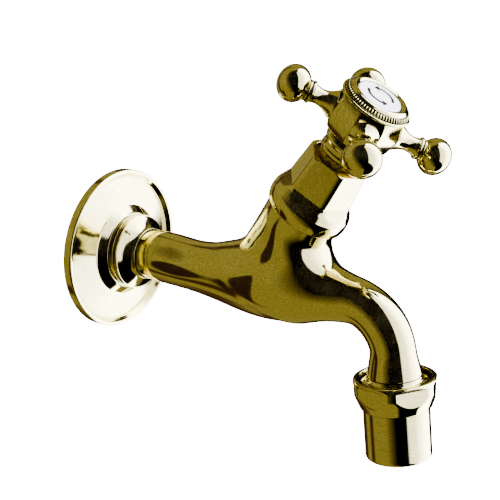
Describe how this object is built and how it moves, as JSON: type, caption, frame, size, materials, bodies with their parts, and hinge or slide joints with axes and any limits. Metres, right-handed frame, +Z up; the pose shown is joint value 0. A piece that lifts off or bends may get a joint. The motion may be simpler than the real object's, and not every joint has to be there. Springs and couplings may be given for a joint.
{
  "type": "wall-mounted kitchen tap",
  "caption": "Wall-mounted kitchen tap in polished brass with a cross handle, white index disc, six-sided shroud and swept spout.",
  "frame": {"origin": "on the axis of the inlet tail, in the plane of the finished wall, where the flange's rim rests", "axes": "+X out of the wall along the tail, +Z up, +Y to the left as one faces the wall from the room"},
  "size_m": [0.1572, 0.065, 0.1425],
  "materials": {
    "polished_brass": "mirror-polished olive-gold brass, lacquered",
    "plain_brass": "turned, unpolished brass",
    "black_rubber": "moulded nitrile rubber",
    "fibre": "pressed red-brown fibre",
    "packing_ptfe": "pressed fluoropolymer packing",
    "white_porcelain": "glazed white porcelain",
    "white_plastic": "moulded acetal",
    "steel_mesh": "etched stainless steel mesh"
  },
  "bodies": {
    "casting": {"tap_body": "polished_brass", "wall_flange": "polished_brass", "flange_o_ring": "black_rubber", "valve_bonnet": "plain_brass", "bonnet_washer": "fibre", "bonnet_shroud": "polished_brass", "shroud_nut": "plain_brass", "gland_packing": "packing_ptfe", "gland_nut": "polished_brass", "union_nut": "polished_brass", "outlet_nozzle": "polished_brass", "nozzle_washer": "fibre", "flow_straightener": "white_plastic", "straightener_seal": "black_rubber", "nozzle_screen": "steel_mesh"},
    "washer_set": {"jumper": "plain_brass", "valve_washer": "black_rubber", "washer_nut": "plain_brass"},
    "handle": {"spindle": "plain_brass", "handle_hub": "polished_brass", "handle_arm_1": "polished_brass", "handle_arm_2": "polished_brass", "handle_arm_3": "polished_brass", "handle_arm_4": "polished_brass", "handle_screw": "plain_brass", "index_ring": "polished_brass", "index_disc": "white_porcelain"}
  },
  "joints": [
    {"name": "washer_lift", "type": "slide", "parent": "casting", "child": "washer_set", "axis": [0.549, 0, 0.8358], "range_m": [0, 0.006]},
    {"name": "handle_turn", "type": "hinge", "parent": "washer_set", "child": "handle", "pos_m": [0.0718, 0, 0], "axis": [0.549, 0, 0.8358], "range_deg": [0, 855]}
  ],
  "couplings": [
    {"joint": "washer_lift", "follows": "handle_turn", "m_per_rad": 0.00039789}
  ]
}
